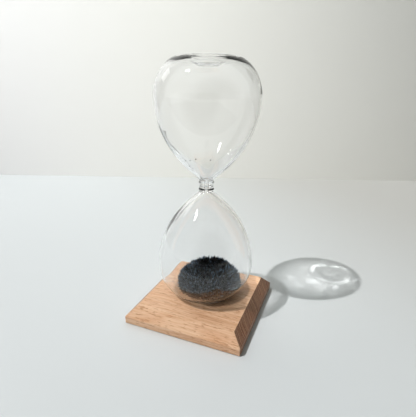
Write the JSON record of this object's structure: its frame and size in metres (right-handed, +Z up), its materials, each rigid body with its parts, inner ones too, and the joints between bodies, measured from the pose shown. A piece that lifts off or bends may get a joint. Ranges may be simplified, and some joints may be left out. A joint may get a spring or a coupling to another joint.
{
  "type": "hourglass",
  "caption": "Glass hourglass with iron powder, standing loose on a square bevelled wooden base that holds a magnet.",
  "frame": {"origin": "middle of the underside, where the felt pad rests on the table", "axes": "+Z up along the vessel, +X and +Y along two sides of the base, -Y to the front"},
  "size_m": [0.08, 0.08, 0.1669],
  "materials": {
    "beech": "planed and oiled beech, matt",
    "ferrite": "sintered ferrite, dull",
    "felt": "pressed felt",
    "glass": "clear blown borosilicate",
    "powder": "fine iron powder"
  },
  "bodies": {
    "base": {"wooden_base": "beech", "ring_magnet": "ferrite", "felt_pad": "felt"},
    "vessel": {"lower_bulb": "glass", "neck_tube": "glass", "upper_bulb": "glass"},
    "powder": {"iron_powder": "powder"}
  },
  "joints": [
    {"name": "turn_over", "type": "hinge", "parent": "base", "child": "vessel", "pos_m": [-0.042, 0.0027, 0.0836], "axis": [0, -1, 0], "range_deg": [0, 180]},
    {"name": "powder_run", "type": "hinge", "parent": "vessel", "child": "powder", "pos_m": [0, 0.0027, 0.0895], "axis": [0, -1, 0], "range_deg": [-180, 0], "deforming": ["iron_powder"]}
  ],
  "couplings": [
    {"joint": "powder_run", "follows": "turn_over", "ratio": -1}
  ]
}
